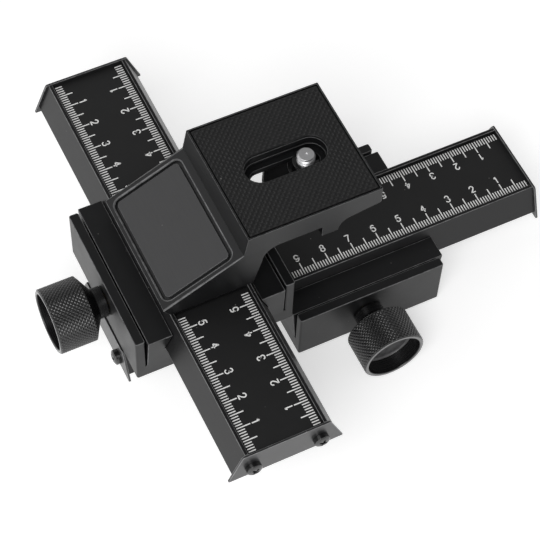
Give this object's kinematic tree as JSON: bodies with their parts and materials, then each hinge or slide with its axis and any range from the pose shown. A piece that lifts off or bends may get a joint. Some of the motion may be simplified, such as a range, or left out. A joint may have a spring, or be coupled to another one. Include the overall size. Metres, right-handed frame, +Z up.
{
  "type": "macro focusing rail",
  "caption": "Crossed pair of rack and pinion slides with scales and hollow knobs, carrying an offset camera platform with a captive screw in a slot.",
  "frame": {"origin": "middle of the base carriage's underside, which rests on the floor or on a tripod head", "axes": "+Z up, +X to the right along the lower rail, +Y away from the lower knob along the upper rail"},
  "size_m": [0.1832, 0.1656, 0.0772],
  "materials": {
    "casting": "satin black powder coat on die-cast aluminium",
    "bracket_casting": "satin black powder coat on die-cast aluminium",
    "rail": "black anodised extrusion",
    "scale": "matte black printed strip with white graduations",
    "end_plate": "black anodised sheet",
    "panel": "matte dark grey sheet, bare",
    "knob": "black anodised with a diamond knurl",
    "black_screw": "black oxide steel",
    "steel": "bright steel",
    "brass": "turned brass",
    "slide_plastic": "white acetal",
    "pad": "black rubber with a fine dimple pattern",
    "camera_screw": "plated steel screw"
  },
  "bodies": {
    "base": {"base_carriage": "casting", "tripod_insert_small": "steel", "tripod_insert_large": "steel", "lower_bushes": "brass", "lower_gib": "slide_plastic", "lower_drag_screws": "steel"},
    "lower_table": {"lower_rail": "rail", "lower_scale": "scale", "lower_rack": "steel", "lower_rack_screws": "steel", "lower_end_plate_left": "end_plate", "lower_end_plate_right": "end_plate", "lower_end_screws": "black_screw", "upper_carriage": "casting", "carriage_screws": "black_screw", "upper_bushes": "brass", "upper_gib": "slide_plastic", "upper_drag_screws": "steel"},
    "lower_drive": {"lower_pinion": "brass", "lower_knob": "knob", "lower_knob_grub": "steel", "lower_shaft_clip": "steel"},
    "upper_table": {"upper_rail": "rail", "upper_scale_near": "scale", "upper_scale_far": "scale", "upper_rack": "steel", "upper_rack_screws": "steel", "upper_end_plate_near": "end_plate", "upper_end_plate_far": "end_plate", "upper_end_screws": "black_screw", "camera_bracket": "bracket_casting", "bracket_screws": "black_screw", "cover_panel": "panel", "platform_pad": "pad"},
    "upper_drive": {"upper_pinion": "brass", "upper_knob": "knob", "upper_knob_grub": "steel", "upper_shaft_clip": "steel"},
    "screw_washer": {"screw_washer": "black_screw"},
    "screw_clip": {"screw_clip": "black_screw"},
    "camera_screw": {"camera_screw": "camera_screw"}
  },
  "joints": [
    {"name": "lower_slide", "type": "slide", "parent": "base", "child": "lower_table", "axis": [1, 0, 0], "range_m": [-0.04165, 0.05845]},
    {"name": "lower_knob_turn", "type": "hinge", "parent": "base", "child": "lower_drive", "pos_m": [-0.0013, 0, 0.0117], "axis": [0, 1, 0], "range_deg": [-610, 850]},
    {"name": "upper_slide", "type": "slide", "parent": "lower_table", "child": "upper_table", "axis": [0, 1, 0], "range_m": [-0.04965, 0.05045]},
    {"name": "upper_knob_turn", "type": "hinge", "parent": "lower_table", "child": "upper_drive", "pos_m": [-0.0593, -0.0009, 0.0371], "axis": [1, 0, 0], "range_deg": [-730, 730]},
    {"name": "screw_slide", "type": "slide", "parent": "upper_table", "child": "screw_washer", "axis": [1, 0, 0], "range_m": [-0.0155, 0.0015]},
    {"name": "screw_lift", "type": "slide", "parent": "screw_washer", "child": "screw_clip", "axis": [0, 0, 1], "range_m": [0, 0.0049]},
    {"name": "screw_turn", "type": "hinge", "parent": "screw_clip", "child": "camera_screw", "pos_m": [-0.0138, 0.0008, 0.0734], "axis": [0, 0, 1], "continuous": true}
  ],
  "couplings": [
    {"joint": "lower_knob_turn", "follows": "lower_slide", "rad_per_m": 250},
    {"joint": "upper_knob_turn", "follows": "upper_slide", "rad_per_m": -250}
  ]
}
